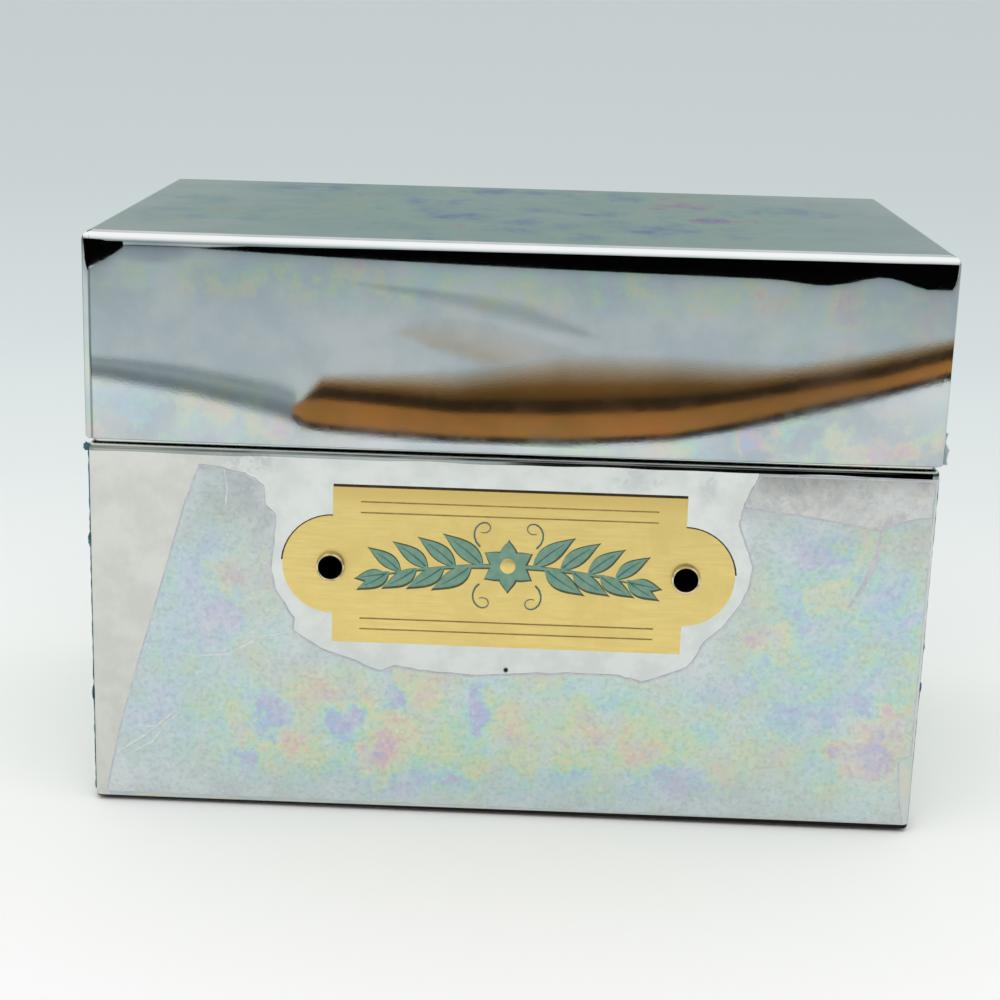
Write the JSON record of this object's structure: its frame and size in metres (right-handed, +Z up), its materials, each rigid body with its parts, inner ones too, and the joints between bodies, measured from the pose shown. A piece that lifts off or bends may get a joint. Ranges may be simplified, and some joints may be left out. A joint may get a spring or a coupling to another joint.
{
  "type": "recipe box",
  "caption": "Sheet-metal recipe box with a hinged telescoping lid, a riveted nameplate and torn protective film on its front.",
  "frame": {"origin": "middle of the rest face under the body, below the middle of the walls", "axes": "+X to the right seen from the front, -Y out of the front with the nameplate, +Z up"},
  "size_m": [0.1396, 0.0936, 0.0975],
  "materials": {
    "plated_steel": "bright chrome plate on thin steel sheet, most of it still under clear film",
    "gold_anodised": "gold anodised, satin, with engraved hairlines",
    "eyelet_brass": "polished, dulled",
    "protective_film": "thin clear film with pastel interference colours",
    "hinge_steel": "plated steel, semi-bright"
  },
  "bodies": {
    "base": {"body_shell": "plated_steel", "bottom_panel": "plated_steel", "nameplate": "gold_anodised", "eyelet_left": "eyelet_brass", "eyelet_right": "eyelet_brass", "film_front": "protective_film", "hinge_leaf_base_left": "hinge_steel", "hinge_leaf_base_right": "hinge_steel", "hinge_pin_left": "hinge_steel", "hinge_pin_right": "hinge_steel", "hinge_rivets_base": "hinge_steel"},
    "lid": {"lid_shell": "plated_steel", "hinge_leaf_lid_left": "hinge_steel", "hinge_leaf_lid_right": "hinge_steel", "hinge_rivets_lid": "hinge_steel"}
  },
  "joints": [
    {"name": "lid_hinge", "type": "hinge", "parent": "base", "child": "lid", "pos_m": [0, 0.0462, 0.0632], "axis": [-1, 0, 0], "range_deg": [0, 105]}
  ]
}
